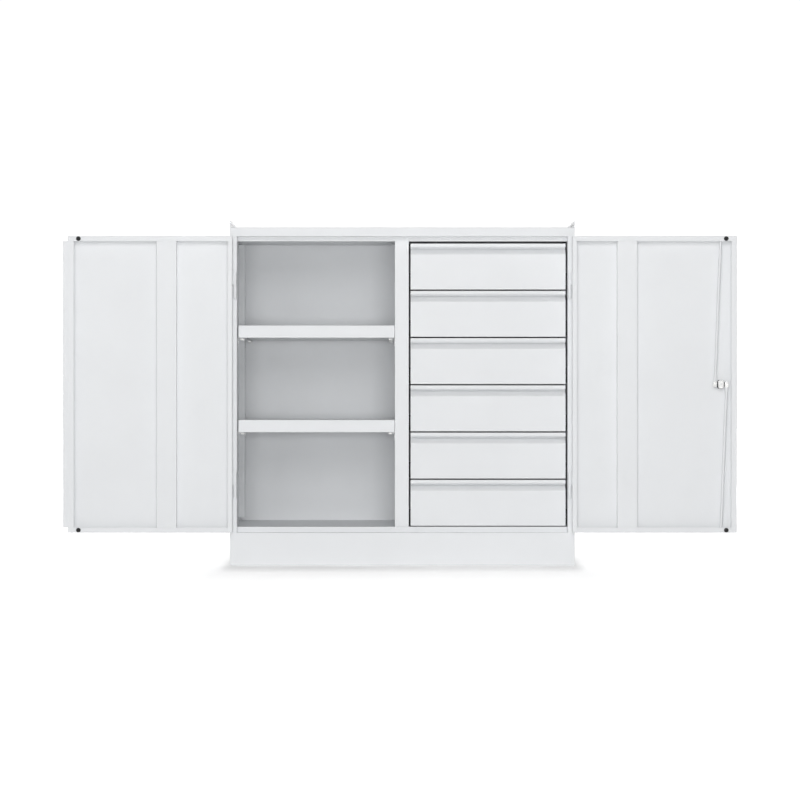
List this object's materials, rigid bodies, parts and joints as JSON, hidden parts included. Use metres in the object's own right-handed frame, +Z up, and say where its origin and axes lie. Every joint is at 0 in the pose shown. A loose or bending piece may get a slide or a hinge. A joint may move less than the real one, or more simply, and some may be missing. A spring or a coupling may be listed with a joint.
{
  "type": "tool cabinet with doors",
  "caption": "Half-height steel tool cabinet on a plinth: two hinged doors with a rotary rod lock, adjustable shelves on the left and full-extension drawers on the right.",
  "frame": {"origin": "on the floor, under the middle of the whole object with both doors folded back; the cabinet's own middle plane is X = 0 and its carcass runs from Y -0.2335 to 0.2665", "axes": "+Z up, the front faces -Y, +X to the right seen from the front"},
  "size_m": [1.9478, 0.5331, 1],
  "materials": {
    "light_grey_paint": "fine-textured semi-matt powder coat",
    "zinc_plate": "bright zinc plating",
    "black_rubber": "moulded, matt",
    "black_plastic": "moulded, fine grain"
  },
  "bodies": {
    "cabinet": {"plinth": "light_grey_paint", "side_panel_left": "light_grey_paint", "side_panel_right": "light_grey_paint", "back_panel": "light_grey_paint", "top_cover": "light_grey_paint", "floor_panel": "light_grey_paint", "top_rail": "light_grey_paint", "centre_post": "light_grey_paint", "centre_partition": "light_grey_paint", "shelf_uprights": "light_grey_paint", "slide_uprights": "light_grey_paint", "shelf_upper": "light_grey_paint", "shelf_lower": "light_grey_paint", "shelf_clips": "zinc_plate", "hinge_sockets": "light_grey_paint", "hinge_pins": "zinc_plate", "slide_rails": "zinc_plate", "slide_screws": "zinc_plate"},
    "left_door": {"door_left_panel": "light_grey_paint", "door_left_stiffener": "light_grey_paint", "door_left_overlap_strip": "light_grey_paint", "door_left_buffers": "black_rubber", "door_left_hinges": "light_grey_paint"},
    "right_door": {"door_right_panel": "light_grey_paint", "door_right_stiffener": "light_grey_paint", "door_right_buffers": "black_rubber", "door_right_hinges": "light_grey_paint", "lock_bushing": "zinc_plate", "lock_nut": "black_plastic"},
    "lock": {"handle": "black_plastic", "lock_cam": "zinc_plate"},
    "key_plug": {"lock_cylinder": "zinc_plate"},
    "upper_rod": {"upper_rod": "light_grey_paint"},
    "lower_rod": {"lower_rod": "light_grey_paint"},
    "drawer_1": {"drawer_1_box": "light_grey_paint", "drawer_1_front": "light_grey_paint", "drawer_1_runners": "zinc_plate"},
    "slides_1": {"drawer_1_slides": "zinc_plate"},
    "drawer_2": {"drawer_2_box": "light_grey_paint", "drawer_2_front": "light_grey_paint", "drawer_2_runners": "zinc_plate"},
    "slides_2": {"drawer_2_slides": "zinc_plate"},
    "drawer_3": {"drawer_3_box": "light_grey_paint", "drawer_3_front": "light_grey_paint", "drawer_3_runners": "zinc_plate"},
    "slides_3": {"drawer_3_slides": "zinc_plate"},
    "drawer_4": {"drawer_4_box": "light_grey_paint", "drawer_4_front": "light_grey_paint", "drawer_4_runners": "zinc_plate"},
    "slides_4": {"drawer_4_slides": "zinc_plate"},
    "drawer_5": {"drawer_5_box": "light_grey_paint", "drawer_5_front": "light_grey_paint", "drawer_5_runners": "zinc_plate"},
    "slides_5": {"drawer_5_slides": "zinc_plate"},
    "drawer_6": {"drawer_6_box": "light_grey_paint", "drawer_6_front": "light_grey_paint", "drawer_6_runners": "zinc_plate"},
    "slides_6": {"drawer_6_slides": "zinc_plate"}
  },
  "joints": [
    {"name": "left_door_hinge", "type": "hinge", "parent": "cabinet", "child": "left_door", "pos_m": [-0.485, -0.2385, 0.5234], "axis": [0, 0, -1], "range_deg": [-180, 0]},
    {"name": "right_door_hinge", "type": "hinge", "parent": "cabinet", "child": "right_door", "pos_m": [0.485, -0.2385, 0.5234], "axis": [0, 0, 1], "range_deg": [-180, 0]},
    {"name": "handle_turn", "type": "hinge", "parent": "right_door", "child": "lock", "pos_m": [0.9215, -0.2435, 0.5252], "axis": [0, -1, 0], "range_deg": [-90, 0]},
    {"name": "key_turn", "type": "hinge", "parent": "lock", "child": "key_plug", "pos_m": [0.9215, -0.2285, 0.5252], "axis": [0, -1, 0], "range_deg": [-90, 0]},
    {"name": "upper_rod_pivot", "type": "hinge", "parent": "lock", "child": "upper_rod", "pos_m": [0.9045, -0.2577, 0.5252], "axis": [0, -1, 0], "range_deg": [0, 92.5]},
    {"name": "lower_rod_pivot", "type": "hinge", "parent": "lock", "child": "lower_rod", "pos_m": [0.9385, -0.2577, 0.5252], "axis": [0, -1, 0], "range_deg": [0, 92.5]},
    {"name": "drawer_1_travel", "type": "slide", "parent": "cabinet", "child": "drawer_1", "axis": [0, -1, 0], "range_m": [0, 0.4]},
    {"name": "slides_1_travel", "type": "slide", "parent": "cabinet", "child": "slides_1", "axis": [0, -1, 0], "range_m": [0, 0.2]},
    {"name": "drawer_2_travel", "type": "slide", "parent": "cabinet", "child": "drawer_2", "axis": [0, -1, 0], "range_m": [0, 0.4]},
    {"name": "slides_2_travel", "type": "slide", "parent": "cabinet", "child": "slides_2", "axis": [0, -1, 0], "range_m": [0, 0.2]},
    {"name": "drawer_3_travel", "type": "slide", "parent": "cabinet", "child": "drawer_3", "axis": [0, -1, 0], "range_m": [0, 0.4]},
    {"name": "slides_3_travel", "type": "slide", "parent": "cabinet", "child": "slides_3", "axis": [0, -1, 0], "range_m": [0, 0.2]},
    {"name": "drawer_4_travel", "type": "slide", "parent": "cabinet", "child": "drawer_4", "axis": [0, -1, 0], "range_m": [0, 0.4]},
    {"name": "slides_4_travel", "type": "slide", "parent": "cabinet", "child": "slides_4", "axis": [0, -1, 0], "range_m": [0, 0.2]},
    {"name": "drawer_5_travel", "type": "slide", "parent": "cabinet", "child": "drawer_5", "axis": [0, -1, 0], "range_m": [0, 0.4]},
    {"name": "slides_5_travel", "type": "slide", "parent": "cabinet", "child": "slides_5", "axis": [0, -1, 0], "range_m": [0, 0.2]},
    {"name": "drawer_6_travel", "type": "slide", "parent": "cabinet", "child": "drawer_6", "axis": [0, -1, 0], "range_m": [0, 0.4]},
    {"name": "slides_6_travel", "type": "slide", "parent": "cabinet", "child": "slides_6", "axis": [0, -1, 0], "range_m": [0, 0.2]}
  ],
  "couplings": [
    {"joint": "upper_rod_pivot", "follows": "handle_turn", "ratio": -1.0252},
    {"joint": "lower_rod_pivot", "follows": "handle_turn", "ratio": -1.0252},
    {"joint": "slides_1_travel", "follows": "drawer_1_travel", "ratio": 0.5},
    {"joint": "slides_2_travel", "follows": "drawer_2_travel", "ratio": 0.5},
    {"joint": "slides_3_travel", "follows": "drawer_3_travel", "ratio": 0.5},
    {"joint": "slides_4_travel", "follows": "drawer_4_travel", "ratio": 0.5},
    {"joint": "slides_5_travel", "follows": "drawer_5_travel", "ratio": 0.5},
    {"joint": "slides_6_travel", "follows": "drawer_6_travel", "ratio": 0.5}
  ]
}
